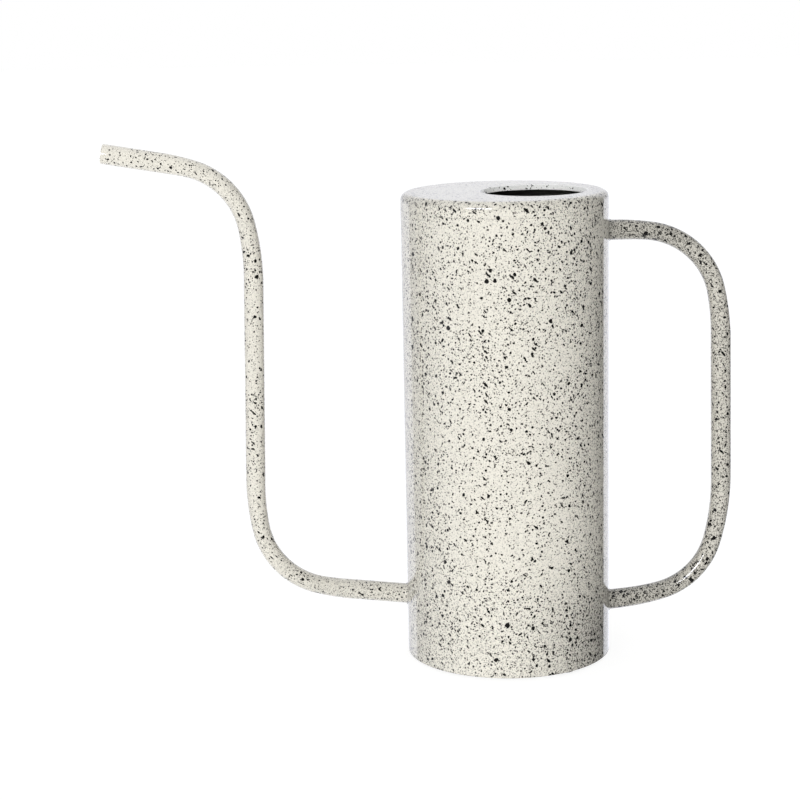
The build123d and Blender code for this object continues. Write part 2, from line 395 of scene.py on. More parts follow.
def body_build(nodes, x, z):
    """Shares of spatter and of greying on the body, heaviest low down on the handle's side; the
    greying of the low corner and of the edge towards the handle is painted shade, and the shoulder
    is greyed a little too.
    """
    side = nodes.smooth_step(x, *BODY_HANDLE_SIDE)
    foot = 1.0 - nodes.smooth_step(z, *BODY_FOOT_END)
    shoulder = nodes.smooth_step(z, *BODY_SHOULDER) * (
        1.0 - nodes.smooth_step(z, *BODY_SHOULDER_END))
    handle_flank = nodes.smooth_step(x, *BODY_HANDLE_FLANK)
    spout_flank = nodes.smooth_step(0.0 - x, *BODY_SPOUT_FLANK)
    # the low corner on the handle's side: denser specks, and painted shade in its greying
    corner = side * foot
    spatter_share = (corner * 0.8 + foot * 0.45 + handle_flank * 0.65 + spout_flank * 0.35
                     + shoulder * 0.4)
    # painted shade: the ground greys in the low corner and along the edge towards the handle
    dust_and_shade_share = corner + nodes.smooth_step(x, *BODY_SHADE_EDGE) * 0.45 + shoulder * 0.4
    return spatter_share, dust_and_shade_share


def spout_build(nodes, x, z):
    """Shares of spatter and of dust on the spout, heaviest on the run out of the body."""
    low_run = nodes.smooth_step(x, *SPOUT_LOW_RUN)
    return low_run * 0.5 + nodes.smooth_step(x, *SPOUT_UPRIGHT) * 0.5, low_run


def handle_build(nodes, x, z):
    """Shares of spatter and of dust on the handle, heaviest on its two level runs."""
    level_run = 1.0 - nodes.smooth_step(x, *HANDLE_LEVEL_END)
    return level_run, level_run


def enamel(name, build, load, haze, veil, coarse, ground="cream"):
    """Enamel spattered with black over a pale ground.

    Load, haze and veil each have two values, on the lightest and on the heaviest of the coat: how
    many specks there are, how strong the fine spray is, and how grey the ground turns, as fine dust
    and, on the body, as painted shade. Coarse is how many of the specks are big ones.
    """
    finish = bpy.context.scene.can_finish
    material, nodes, output = new_material(name)
    place = nodes.node("ShaderNodeTexCoord", None, None, "Object")
    wander = nodes.noise(place, *WANDER_NOISE, "Color")
    centred = nodes.node(
        "ShaderNodeVectorMath", {"operation": "SUBTRACT"}, {0: wander, 1: (0.5, 0.5, 0.5)})
    shift = nodes.node(
        "ShaderNodeVectorMath", {"operation": "SCALE"}, {0: centred, "Scale": WANDER})
    uneven = nodes.node("ShaderNodeVectorMath", None, {0: place, 1: shift})
    crowd = nodes.smooth_step(nodes.noise(place, *CROWD_NOISE), *CROWD_EDGE)
    x, _, z = nodes.parts_of(place)
    spatter_share, dust_and_shade_share = build(nodes, x, z)
    heavy = (CROWD_LEAST + crowd * CROWD_RANGE) * between(load, spatter_share)
    masks = []
    for number, (cell, chance, smallest, largest) in enumerate(ROUND_SPECKS):
        share = heavy * (chance * (coarse if number < COARSE_SIZES else 1.0))
        masks.append(spatter(nodes, uneven, cell, share, smallest, largest))
    for cell, chance, smallest, largest, stretch, lean in LONG_SPECKS:
        leaning = nodes.node(
            "ShaderNodeMapping", {"vector_type": "TEXTURE"},
            {"Vector": uneven, "Rotation": (0.0, lean, 0.0), "Scale": (stretch, 1.0, 1.0)})
        share = heavy * (chance * coarse)
        masks.append(spatter(nodes, leaning, cell, share, smallest, largest))
    specks = masks[0]
    for mask in masks[1:]:
        specks = nodes.math("MAXIMUM", specks, mask)
    spray = nodes.smooth_step(nodes.noise(place, *SPRAY_NOISE), *SPRAY_EDGE)
    spray = spray * between(haze, spatter_share)
    # greying of the ground: fine dust, and painted shade on the body
    dust_and_shade = between(veil, dust_and_shade_share)
    clear = (1.0 - specks) * (1.0 - spray) * (1.0 - dust_and_shade)
    cloud = nodes.noise(place, *CLOUD_NOISE)
    pale = Vector(getattr(finish, ground))
    bare = nodes.mix_colour(cloud, opaque(pale * (1 - CLOUDING)), opaque(pale * (1 + CLOUDING)))
    clear = nodes.node("ShaderNodeClamp", None, {"Value": clear})
    colour = nodes.mix_colour(clear, opaque(finish.black), bare)
    ripple = nodes.bump(nodes.noise(place, *RIPPLE_NOISE), 0.05, 0.0004)
    shader = nodes.node("ShaderNodeBsdfPrincipled", None, {
        "Base Color": colour, "Roughness": finish.gloss + (cloud - 0.5) * 0.02,
        "Normal": ripple, "IOR": 1.5}, "BSDF")
    finish_shader(nodes, output, shader)
    return material


def mottled(name, paint, scale, detail, roughness, grain):
    """One dark colour with lighter, duller spots; grain is the strength of its relief."""
    material, nodes, output = new_material(name)
    place = nodes.node("ShaderNodeTexCoord", None, None, "Object")
    cloud = nodes.noise(place, scale, detail)
    dark = Vector(getattr(bpy.context.scene.can_finish, paint))
    inputs = {
        "Base Color": nodes.mix_colour(cloud, opaque(dark * 0.8), opaque(dark * 1.3)),
        "Roughness": roughness + cloud * 0.2}
    if grain:
        inputs["Normal"] = nodes.bump(cloud, grain, 0.0001)
    finish_shader(nodes, output, nodes.node("ShaderNodeBsdfPrincipled", None, inputs, "BSDF"))
    return material


FINISHES = {
    # the body's veil is painted shade in its low corner and along the edge towards the handle
    "body_enamel": (enamel, {
        "build": body_build, "load": (1.0, 1.55), "haze": (0.26, 0.55), "veil": (0.0, 0.26),
        "coarse": 1.0}),
    "spout_enamel": (enamel, {
        "build": spout_build, "load": (0.62, 1.12), "haze": (0.14, 0.38), "veil": (0.02, 0.15),
        "coarse": 0.7}),
    "handle_enamel": (enamel, {
        "build": handle_build, "load": (1.3, 2.0), "haze": (0.70, 0.95), "veil": (0.22, 0.42),
        "coarse": 1.3}),
    # painted light: a whiter ground and fewer specks on the hem, for light that it doesn't get
    "edge_enamel": (enamel, {
        "build": body_build, "load": (0.3, 0.3), "haze": (0.1, 0.1), "veil": (0.0, 0.0),
        "coarse": 1.0, "ground": "edge"}),
    "ground_coat": (mottled, {
        "paint": "inside", "scale": 300.0, "detail": 3.0, "roughness": 0.4, "grain": 0.0}),
    "pad_rubber": (mottled, {
        "paint": "rubber", "scale": 2500.0, "detail": 2.0, "roughness": 0.55, "grain": 0.3}),
}


def finish_named(name):
    """The finish of this name, made when it is first asked for."""
    label = "fired_" + name
    maker, settings = FINISHES[name]
    return bpy.data.materials.get(label) or maker(label, **settings)


# ---- outlines of the turned pieces

ARC_STEPS = 8
SUPPORT = 0.0004  # how far beyond an arc its support points lie


def swung(vector, angle):
    """A flat vector turned to the left."""
    return Vector((
        vector.x * math.cos(angle) - vector.y * math.sin(angle),
        vector.x * math.sin(angle) + vector.y * math.cos(angle)))


def rounded(corners):
    """Points of a closed outline through corners (radius, height, rounding, share).

    A rounded corner becomes an arc with a support point on each side, so that the flat faces
    beside it shade flat. The share says how far a point follows the tree's offset and ripple.
    """
    points = []
    for number, (x, z, rounding, share) in enumerate(corners):
        here = Vector((x, z))
        if rounding == 0:
            points.append((x, z, share))
            continue
        before = (Vector(corners[number - 1][:2]) - here).normalized()
        after = (Vector(corners[(number + 1) % len(corners)][:2]) - here).normalized()
        opening = before.angle(after)
        reach = rounding / math.tan(opening / 2)
        centre = here + (before + after).normalized() * rounding / math.sin(opening / 2)
        spoke = here + before * reach - centre
        turn = math.pi - opening
        if before.x * after.y - before.y * after.x > 0:
            turn = -turn
        points.append((*(here + before * (reach + SUPPORT)), share))
        for step in range(ARC_STEPS + 1):
            points.append((*(centre + swung(spoke, turn * step / ARC_STEPS)), share))
        points.append((*(here + after * (reach + SUPPORT)), share))
    return points


def carrier(name, points, edges, values):
    """Mesh of points and edges that brings its points' values to a geometry tree."""
    mesh = bpy.data.meshes.new(name)
    mesh.from_pydata(points, edges, [])
    for label, numbers in values.items():
        mesh.attributes.new(label, "FLOAT", "POINT").data.foreach_set("value", numbers)
    return mesh


# ---- Geometry Nodes

MERGED = 0.000001   # points nearer than this become one
ROOT_SINK = 0.00003  # how far a cove bead's root reaches into its tube


def new_tree(name, **inputs):
    """A geometry tree with named inputs; gives its nodes, its inputs by name and its end."""
    tree = bpy.data.node_groups.new(name, "GeometryNodeTree")
    tree.interface.new_socket("Geometry", in_out="INPUT", socket_type="NodeSocketGeometry")
    tree.interface.new_socket("Geometry", in_out="OUTPUT", socket_type="NodeSocketGeometry")
    for label, default in inputs.items():
        kind = "Int" if isinstance(default, int) else "Float"
        socket = tree.interface.new_socket(
            label, in_out="INPUT", socket_type="NodeSocket" + kind)
        socket.default_value = default
    tree.interface.new_socket("Material", in_out="INPUT", socket_type="NodeSocketMaterial")
    nodes = Nodes(tree)
    start = nodes.node("NodeGroupInput", output=None)
    end = nodes.node("NodeGroupOutput", output=None)
    given = {socket.name: Socket(nodes, socket) for socket in start.outputs if socket.name}
    return nodes, given, end


def finish_tree(nodes, geometry, given, end):
    """Ends a tree in Realize Instances and Set Material."""
    real = nodes.node("GeometryNodeRealizeInstances", None, {"Geometry": geometry})
    painted = nodes.node(
        "GeometryNodeSetMaterial", None, {"Geometry": real, "Material": given["Material"]})
    nodes.tree.links.new(painted.link, end.inputs[0])
    return nodes.tree


def lattice(nodes, rows, columns):
    """Sheet of points in rows and columns, with the row and the column of each point."""
    sheet = nodes.node(
        "GeometryNodeMeshGrid", None, {"Vertices X": rows, "Vertices Y": columns}, "Mesh")
    index = nodes.node("GeometryNodeInputIndex")
    row = nodes.math("FLOOR", (index + 0.5) / columns)
    return sheet, row, nodes.math("ROUND", index - row * columns)


def placed(nodes, geometry, x, y, z):
    """Geometry with its points at new places."""
    spot = nodes.node("ShaderNodeCombineXYZ", None, {"X": x, "Y": y, "Z": z})
    return nodes.node("GeometryNodeSetPosition", None, {"Geometry": geometry, "Position": spot})


def merged(nodes, geometry):
    """Geometry with the points at its seam made one."""
    return nodes.node(
        "GeometryNodeMergeByDistance", None, {"Geometry": geometry, "Distance": MERGED})


def sample(nodes, kind, geometry, value, index):
    """A value at one point of a geometry."""
    return nodes.node(
        "GeometryNodeSampleIndex", {"data_type": kind, "domain": "POINT"},
        {"Geometry": geometry, "Value": value, "Index": index}, "Value")


def carried(nodes, name, kind="FLOAT"):
    """A value that the points carry under a name."""
    return nodes.node(
        "GeometryNodeInputNamedAttribute", {"data_type": kind}, {"Name": name}, "Attribute")


def turned_tree(name):
    """Turns a closed outline about the upright axis; its shares carry offset, bulge and ripple."""
    nodes, given, end = new_tree(
        name, Segments=240, Start=0.0, Sweep=2 * math.pi, Offset=0.0, Bulge=0.0, Ripple=0.0,
        Waves=90.0)
    outline = given["Geometry"]
    count = nodes.node(
        "GeometryNodeAttributeDomainSize", {"component": "MESH"}, {"Geometry": outline},
        "Point Count")
    sheet, row, column = lattice(nodes, given["Segments"] + 1, count + 1)
    number = nodes.math("MODULO", column, count)
    here = nodes.node("GeometryNodeInputPosition")
    radius, height, _ = nodes.parts_of(sample(nodes, "FLOAT_VECTOR", outline, here, number))
    share = sample(nodes, "FLOAT", outline, carried(nodes, "share"), number)
    around = row / given["Segments"]
    angle = given["Start"] + around * given["Sweep"]
    across = 2.0 * around - 1.0
    bulge = given["Bulge"] * nodes.math("SQRT", nodes.math("MAXIMUM", 1.0 - across * across, 0.0))
    ripple = given["Ripple"] * nodes.math("SINE", angle * given["Waves"])
    reach = radius + share * bulge
    turned_sheet = placed(
        nodes, sheet,
        reach * nodes.math("COSINE", angle) + share * given["Offset"],
        reach * nodes.math("SINE", angle),
        height + share * ripple)
    return finish_tree(nodes, merged(nodes, turned_sheet), given, end)


def tube_tree(name):
    """Sweeps a round section along a centreline in the XZ plane, flattened where it is bent."""
    nodes, given, end = new_tree(
        name, Radius=0.005, Sides=48, Flattening=0.92, Widening=1.04, Wall=0.05)
    here = nodes.node("GeometryNodeInputPosition")
    line = nodes.node("GeometryNodeMeshToCurve", None, {"Mesh": given["Geometry"]})
    line = nodes.node(
        "GeometryNodeStoreNamedAttribute", {"data_type": "FLOAT_VECTOR", "domain": "POINT"},
        {"Geometry": line, "Name": "centre", "Value": here})
    ring = nodes.node(
        "GeometryNodeCurvePrimitiveCircle", None,
        {"Resolution": given["Sides"], "Radius": given["Radius"]}, "Curve")
    skin = nodes.node("GeometryNodeCurveToMesh", None, {"Curve": line, "Profile Curve": ring})
    bend, cope, slope = [carried(nodes, label) for label in ("bend", "cope", "slope")]
    x, y, z = nodes.parts_of(here)
    mid_x, _, mid_z = nodes.parts_of(carried(nodes, "centre", "FLOAT_VECTOR"))
    narrow = 1.0 - bend * (1.0 - given["Flattening"])
    wide = 1.0 + bend * (given["Widening"] - 1.0)
    x = mid_x + (x - mid_x) * narrow
    y = y * wide
    z = mid_z + (z - mid_z) * narrow
    to_wall = cope * (nodes.math("SQRT", given["Wall"] * given["Wall"] - y * y) - x)
    bent = placed(nodes, skin, x + to_wall, y, z + to_wall * slope)
    return finish_tree(nodes, bent, given, end)


def cove_tree(name):
    """Hollow bead round a tube where it meets the body; side is -1 at the spout's side."""
    nodes, given, end = new_tree(
        name, Segments=96, Steps=8, Side=1.0, Wall=0.05, Tube=0.005, Height=0.0, Lean=0.0,
        Reach=0.0014, Ripple=0.04, Seed=0.0)
    side, wall, steps = given["Side"], given["Wall"], given["Steps"]
    sheet, row, column = lattice(nodes, given["Segments"] + 1, steps + 3)
    angle = row / given["Segments"] * (2 * math.pi)
    column = nodes.math("MODULO", column, steps + 2)
    corner = nodes.math("GREATER_THAN", column, steps + 0.5)
    share = column / steps
    out_x = side * nodes.math("COSINE", given["Lean"])
    out_z = nodes.math("SINE", given["Lean"])
    side_x = -1.0 * side * out_z
    side_z = nodes.math("COSINE", given["Lean"])
    cosine = nodes.math("COSINE", angle)
    sine = nodes.math("SINE", angle)

    def on_wall(radius):
        """Where a line along a tube of this radius meets the body."""
        y = radius * cosine
        x = side * nodes.math("SQRT", wall * wall - y * y)
        rise = radius * sine
        run = (x - side * wall - rise * side_x) / out_x
        return x, y, given["Height"] + rise * side_z + run * out_z

    # two sines that don't repeat together, like the steps of a hand-laid bead
    wave = 1.0 + given["Ripple"] * (
        nodes.math("SINE", angle * 5.0 + given["Seed"]) * 0.6
        + nodes.math("SINE", angle * 13.0 + given["Seed"] * 3.0) * 0.4)
    reach = given["Reach"] * wave
    root = on_wall(given["Tube"] - ROOT_SINK)
    foot = on_wall(given["Tube"] + reach)
    collar = (root[0] + reach * out_x, root[1], root[2] + reach * out_z)
    # a quarter circle from collar to foot, as a rational curve about the root
    one = (1.0 - share) * (1.0 - share)
    two = 2.0 * math.sqrt(0.5) * share * (1.0 - share)
    three = share * share
    total = one + two + three
    spots = []
    for at_collar, at_root, at_foot in zip(collar, root, foot):
        curve = (one * at_collar + two * at_root + three * at_foot) / total
        spots.append(curve + corner * (at_root - curve))
    return finish_tree(nodes, merged(nodes, placed(nodes, sheet, *spots)), given, end)


def pads_tree(name):
    """Repeats a pad evenly on a circle about the upright axis."""
    nodes, given, end = new_tree(name, Count=3, Circle=0.04, Start=0.0)
    ring = nodes.node(
        "GeometryNodeMeshCircle", None,
        {"Vertices": given["Count"], "Radius": given["Circle"]}, "Mesh")
    turn = nodes.node("ShaderNodeCombineXYZ", None, {"Z": given["Start"]})
    ring = nodes.node("GeometryNodeTransform", None, {"Geometry": ring, "Rotation": turn})
    pads = nodes.node(
        "GeometryNodeInstanceOnPoints", None, {"Points": ring, "Instance": given["Geometry"]})
    return finish_tree(nodes, pads, given, end)


TREES = {
    "Turned outline": turned_tree,
    "Bent tube": tube_tree,
    "Cove bead": cove_tree,
    "Foot pads": pads_tree,
}


# ---- from trees to pieces

def linked(name, data):
    """A new object in the scene."""
    thing = bpy.data.objects.new(name, data)
    bpy.context.scene.collection.objects.link(thing)
    return thing


def settled(thing):
    """Plain mesh of an object with its modifiers; they and the object are then removed."""
    bpy.context.view_layer.update()
    graph = bpy.context.evaluated_depsgraph_get()
    mesh = bpy.data.meshes.new_from_object(
        thing.evaluated_get(graph), preserve_all_data_layers=True, depsgraph=graph)
    thing.modifiers.clear()
    bpy.data.objects.remove(thing)
    return mesh


def grown(tree, start, **values):
    """Plain mesh that a geometry tree makes from a carrier mesh."""
    thing = linked("grown", start)
    modifier = thing.modifiers.new(tree, "NODES")
    modifier.node_group = bpy.data.node_groups.get(tree) or TREES[tree](tree)
    for item in modifier.node_group.interface.items_tree:
        if item.in_out == "INPUT" and item.name in values:
            modifier[item.identifier] = values[item.name]
    mesh = settled(thing)
    if not mesh.polygons:
        raise RuntimeError(f"{tree} made no faces")
    for label in ("centre", "bend", "cope", "slope"):
        if label in mesh.attributes:
            mesh.attributes.remove(mesh.attributes[label])
    return edited(mesh, face_outwards)


def edited(mesh, *steps):
    """A mesh after some steps of editing."""
    shape = bmesh.new()
    shape.from_mesh(mesh)
    for step in steps:
        step(shape)
    shape.to_mesh(mesh)
    shape.free()
    return mesh


def face_outwards(shape):
    """Turns every face outwards."""
    bmesh.ops.recalc_face_normals(shape, faces=shape.faces)


def close_ends(shape):
    """Fills the two cut ends of a sheet that doesn't go all the way round."""
    bmesh.ops.holes_fill(shape, edges=[edge for edge in shape.edges if edge.is_boundary])


def joined(first, second):
    """Two meshes as one."""
    return edited(first, lambda shape: shape.from_mesh(second))


def shade(mesh, angle=30):
    """Smooth shading with sharp edges past an angle in degrees."""
    mesh.shade_smooth()
    mesh.set_sharp_from_angle(angle=math.radians(angle))
    return mesh


def paint_faces(mesh, finish, is_chosen):
    """Gives the faces whose middle and normal are chosen another finish."""
    mesh.materials.append(finish_named(finish))
    for face in mesh.polygons:
        if is_chosen(face.center, face.normal):
            face.material_index = len(mesh.materials) - 1


def add_piece(name, mesh, node, slot):
    """Shows a mesh in place of its CAD node and gives both the slot's finish."""
    finish = finish_named(slot)
    if mesh.materials:
        mesh.materials[0] = finish
    else:
        mesh.materials.append(finish)
    mesh.name = name
    piece = linked(name, mesh)
    frame["nodes"][node].data.materials.clear()
    frame["nodes"][node].data.materials.append(finish)
    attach(piece, BODY)
    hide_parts(node)


def turned(name, points, **values):
    """A closed outline turned about the upright axis."""
    count = len(points)
    edges = [(number, (number + 1) % count) for number in range(count)]
    start = carrier(
        name, [(x, z, 0.0) for x, z, _ in points], edges, {"share": [point[2] for point in points]})
    values.setdefault("Segments", bpy.context.scene.can_sheet.segments)
    return grown("Turned outline", start, **values)


# ---- centrelines of the tubes

BEND_AT = {
    "run": lambda share: 0.0,
    "lead_in": lambda share: share,
    "middle": lambda share: 1.0,
    "lead_out": lambda share: 1.0 - share,
}
RUN_STEPS = 4  # a step along a straight run is so many times one along a bend


def bend_moves(turns, side):
    """One bend as lead-in, middle and lead-out; side is 1 to the left and -1 to the right."""
    tubes = bpy.context.scene.can_tubes
    lead_in, middle, lead_out = turns
    return [
        ("lead_in", tubes.runout_radius, side * lead_in),
        ("middle", tubes.bend_radius, side * middle),
        ("lead_out", tubes.runout_radius, side * lead_out),
    ]


def after(place, heading, move, share=1.0):
    """Place and heading after a share of one move."""
    _, size, turn = move
    if turn == 0:
        return place + size * share * Vector((math.cos(heading), math.sin(heading))), heading
    side = math.copysign(size, turn)
    centre = place + side * Vector((-math.sin(heading), math.cos(heading)))
    return centre + swung(place - centre, turn * share), heading + turn * share


def end_of(place, heading, moves):
    """Where the last move ends."""
    for move in moves:
        place, heading = after(place, heading, move)
    return place


def centreline(name, place, heading, moves, coped):
    """Carrier mesh of a tube's centreline; its coped ends are cut to the body's wall."""
    step = bpy.context.scene.can_tubes.step
    spots = [(place.x, 0.0, place.y)]
    bends = [0.0]
    headings = [heading]
    for move in moves:
        kind, size, turn = move
        length = abs(size * turn) if turn else size
        count = max(2, math.ceil(length / (step if turn else RUN_STEPS * step)))
        for number in range(1, count + 1):
            spot, ahead = after(place, heading, move, number / count)
            spots.append((spot.x, 0.0, spot.y))
            bends.append(BEND_AT[kind](number / count))
            headings.append(ahead)
        place, heading = after(place, heading, move)
    last = len(spots) - 1
    return carrier(name, spots, [(number, number + 1) for number in range(last)], {
        "bend": bends,
        "cope": [1.0 if coped and number in (0, last) else 0.0 for number in range(last + 1)],
        "slope": [math.tan(angle) if coped else 0.0 for angle in headings],
    })


def spout_line():
    """The spout's centreline from its stub inside the shell to its outlet."""
    tubes = bpy.context.scene.can_tubes
    depth = bpy.context.scene.can_sheet.sheet + tubes.spout_stub
    heading = math.pi - tubes.spout_rise
    start = Vector((
        -RADIUS + depth, RIM_Z + tubes.spout_joint - depth * math.tan(tubes.spout_rise)))
    first = [("run", depth / math.cos(tubes.spout_rise) + tubes.spout_run, 0.0)]
    first += bend_moves(tubes.spout_lower, -1)
    last = bend_moves(tubes.spout_upper, 1) + [("run", tubes.spout_outlet, 0.0)]
    upright = heading - sum(tubes.spout_lower)
    missing = OUTLET_END.z - end_of(start, heading, first + last).y
    moves = first + [("run", missing / math.sin(upright), 0.0)] + last
    return centreline("Spout line", start, heading, moves, False)


def handle_line():
    """The handle's centreline down to its lower joint, and its heading there."""
    tubes = bpy.context.scene.can_tubes
    start = Vector((RADIUS, TOP_Z - tubes.handle_drop))
    finish = Vector((RADIUS, RIM_Z + tubes.handle_joint))
    heading = tubes.handle_rise
    first = [("run", tubes.handle_run, 0.0)] + bend_moves(tubes.handle_upper, -1)
    last = bend_moves(tubes.handle_lower, -1)
    upright = heading - sum(tubes.handle_upper)
    inward = upright - sum(tubes.handle_lower)
    missing = finish - end_of(start, heading, first + last)
    down = Vector((math.cos(upright), math.sin(upright)))
    back = Vector((math.cos(inward), math.sin(inward)))
    spread = down.x * back.y - down.y * back.x
    upright_run = (missing.x * back.y - missing.y * back.x) / spread
    lower_run = (down.x * missing.y - down.y * missing.x) / spread
    moves = first + [("run", upright_run, 0.0)] + last + [("run", lower_run, 0.0)]
    return centreline("Handle line", start, heading, moves, True), inward


def bent_tube(start):
    """Hollow tube along a centreline, with its cut ends eased."""
    tubes = bpy.context.scene.can_tubes
    thing = linked("tube", grown(
        "Bent tube", start, Radius=TUBE_RADIUS, Sides=tubes.sides, Flattening=tubes.flattening,
        Widening=tubes.widening, Wall=RADIUS))
    wall = thing.modifiers.new("Wall", "SOLIDIFY")
    wall.thickness = tubes.wall
    wall.offset = -1
    edge = thing.modifiers.new("Edge", "BEVEL")
    edge.width = tubes.edge
    edge.segments = 3
    edge.limit_method = "ANGLE"
    edge.angle_limit = math.radians(60)
    return shade(settled(thing))


def joint_heights():
    """Heights of the tubes' axes at the wall: spout, handle above, handle below."""
    tubes = bpy.context.scene.can_tubes
    return [RIM_Z + tubes.spout_joint, TOP_Z - tubes.handle_drop, RIM_Z + tubes.handle_joint]


# ---- camera, floor and room

# half the blur at the edge of each light, on the cosine of its angle
SOFT_EDGES = {"backdrop": 0.012, "tall": 0.02, "mirrored": 0.008, "streak": 0.005}
CEILING_EDGE = (0.35, 0.75)      # rise of a ray where the ceiling, or the ground, takes over
HANDLE_HALF = (-0.2, 0.2)        # sideways part of a ray, from the spout's half to the handle's
HORIZON = (-0.05, 0.10)          # rise of a ray from the mirrored room's low part to its high one
FLANK = (0.25, 0.80)             # sideways part of a level ray, from the middle to the flanks
FRONT = (0.35, 0.85)             # part of a ray towards the camera, where the dark front starts
STREAK_LOW, STREAK_HIGH = (0.09, 0.11), (-0.31, -0.29)  # rise where the small lamp starts, ends
# brightness in reflections: backdrop low and high, what its flanks and its handle half add, ...
BACKDROP_LOW, BACKDROP_HIGH = 1.05, 0.98
FLANK_GAIN, FLANK_LOSS, HANDLE_GAIN = 0.60, 0.15, 0.42
# ... and the rest of the room, what its height adds, and what its handle half and front take off
ROOM, ROOM_HIGH, ROOM_HANDLE, ROOM_FRONT = 0.72, 0.08, 0.66, 0.85
COOL = (0.97, 0.98, 1.05, 1.0)   # tint of what the gloss shows
WHITE = (1.0, 1.0, 1.0, 1.0)
FLOOR_GREY = (0.22, 0.22, 0.22, 1.0)
FLOOR_GLOW = 0.86                # light of its own that makes the floor white to the camera


def aim_camera(studio):
    """Puts the camera at its place, turned, tilted and rolled."""
    forward = Vector((
        math.sin(studio.yaw) * math.cos(studio.pitch),
        math.cos(studio.yaw) * math.cos(studio.pitch),
        -math.sin(studio.pitch)))
    level = Vector((math.cos(studio.yaw), -math.sin(studio.yaw), 0.0))
    upright = level.cross(forward)
    right = level * math.cos(studio.roll) + upright * math.sin(studio.roll)
    up = upright * math.cos(studio.roll) - level * math.sin(studio.roll)
    data = bpy.data.cameras.new("Camera")
    data.lens = studio.lens
    camera = linked("Camera", data)
    camera.matrix_world = Matrix((
        (right.x, up.x, -forward.x, 0.0),
        (right.y, up.y, -forward.y, -studio.distance),
        (right.z, up.z, -forward.z, studio.height),
        (0.0, 0.0, 0.0, 1.0)))
    bpy.context.scene.camera = camera


def lay_floor(half):
    """Flat floor that takes the can's shadow and is left out of its reflections."""
    ground = bpy.data.meshes.new("Floor")
    corners = [(-half, -half, 0.0), (half, -half, 0.0), (half, half, 0.0), (-half, half, 0.0)]
    ground.from_pydata(corners, [], [(0, 1, 2, 3)])
    material, nodes, output = new_material("Pale floor")
    seen = nodes.node("ShaderNodeLightPath", None, None, "Is Camera Ray")
    pale = nodes.node("ShaderNodeBsdfDiffuse", None, {"Color": FLOOR_GREY})
    glow = nodes.node("ShaderNodeEmission", None, {"Strength": seen * FLOOR_GLOW})
    finish_shader(nodes, output, nodes.node("ShaderNodeAddShader", None, {0: pale, 1: glow}))
    ground.materials.append(material)
    floor = linked("Floor", ground)
    floor.visible_glossy = False
    floor.visible_diffuse = False
    floor.visible_shadow = False
    return floor


def surround(studio):
    """White to the camera, and a room with a tall light, a backdrop, a ceiling and a ground."""
    world = bpy.data.worlds.new("Surroundings")
    bpy.context.scene.world = world
    world.use_nodes = True
    world.node_tree.nodes.clear()
    nodes = Nodes(world.node_tree)
    output = nodes.node("ShaderNodeOutputWorld", output=None)
    rays = nodes.node("ShaderNodeLightPath", output=None)
    seen = Socket(nodes, rays.outputs["Is Camera Ray"])
    mirrored = Socket(nodes, rays.outputs["Is Glossy Ray"])
    x, y, z = nodes.parts_of(nodes.node("ShaderNodeTexCoord", None, None, "Generated"))
    flat = nodes.math("MAXIMUM", nodes.math("SQRT", x * x + y * y), 0.001)

    def sector(turn, half, edge):
        """1 near a level direction, which is turned from the camera towards the spout."""
        away = (x * math.sin(turn) + y * math.cos(turn)) / flat
        limit = math.cos(half)
        soft = SOFT_EDGES[edge]
        return nodes.smooth_step(0.0 - away, limit - soft, limit + soft)

    # what lights the can
    behind = sector(math.pi, studio.backdrop, "backdrop")
    tall = sector(studio.key_side, studio.key_width, "tall")
    over = nodes.smooth_step(z, *CEILING_EDGE)
    under = nodes.smooth_step(0.0 - z, *CEILING_EDGE)
    lit = ((1.0 - over - under) * (studio.sides + studio.key * tall + behind)
           + over * studio.ceiling + under * studio.ground)

    # what its gloss shows
    right = nodes.smooth_step(x, *HANDLE_HALF)
    high = nodes.smooth_step(z, *HORIZON)
    flank = nodes.smooth_step(nodes.math("ABSOLUTE", x) / flat, *FLANK)
    front = nodes.smooth_step(0.0 - y, *FRONT)
    low_light = BACKDROP_LOW + flank * (FLANK_GAIN - FLANK_LOSS * right) + HANDLE_GAIN * right
    backdrop = low_light + high * (BACKDROP_HIGH - low_light)
    room = (ROOM + high * ROOM_HIGH - right * ROOM_HANDLE) * (1.0 - front * ROOM_FRONT)
    share = sector(math.pi - studio.mirrored_side, studio.mirrored_backdrop, "mirrored")
    lamp = (sector(studio.streak_side, studio.streak_width, "streak")
            * nodes.smooth_step(z, *STREAK_LOW) * nodes.smooth_step(0.0 - z, *STREAK_HIGH))
    shine = room + share * (backdrop - room) + lamp * studio.streak

    strength = seen + (1.0 - seen) * (lit + mirrored * (shine - lit))
    light = nodes.node("ShaderNodeBackground", None, {
        "Color": nodes.mix_colour(mirrored, WHITE, COOL), "Strength": strength})
    finish_shader(nodes, output, light)


# ---- operators

class CanStage(bpy.types.Operator):
    """Lay the floor and set up the camera and the lit room"""
    bl_idname = "can.stage"
    bl_label = "Stage"

    def execute(self, context):
        studio = context.scene.can_studio
        context.scene.view_settings.view_transform = "Standard"
        aim_camera(studio)
        floor = lay_floor(studio.floor)
        surround(studio)
        return {"FINISHED"}


RING_STEPS = (-0.012, -0.006, 0.006, 0.012)  # rings of the shell above and below each joint
HOLE_SLACK = 0.0001    # how much wider the hole's radius is than the spout's
HOLE_DEPTH = 0.01      # length of the rod that cuts it
TRUE_FACE = 0.995      # a face this nearly square to its spoke belongs to the wall
NEAR_WALL = 0.00002    # slack with which a face still counts as one of the wall's inner side,
NEAR_SEAM = 0.0002     # as one of the lengthwise bead's or the flange's
NEAR_BASE = 0.00005    # and as one of the base's upper side
EDGE_LEAN = 0.12       # lean from which the filler's bend has the edge's enamel
BEAD_END = 0.0015      # how far the inside bead stops short of flange and top
BEAD_SINK = 0.0001     # how far it reaches into the wall
BEAD_SLOPE = 0.0003    # length of its tapered ends
RIPPLE = 0.0001        # height of the base weld's ripple


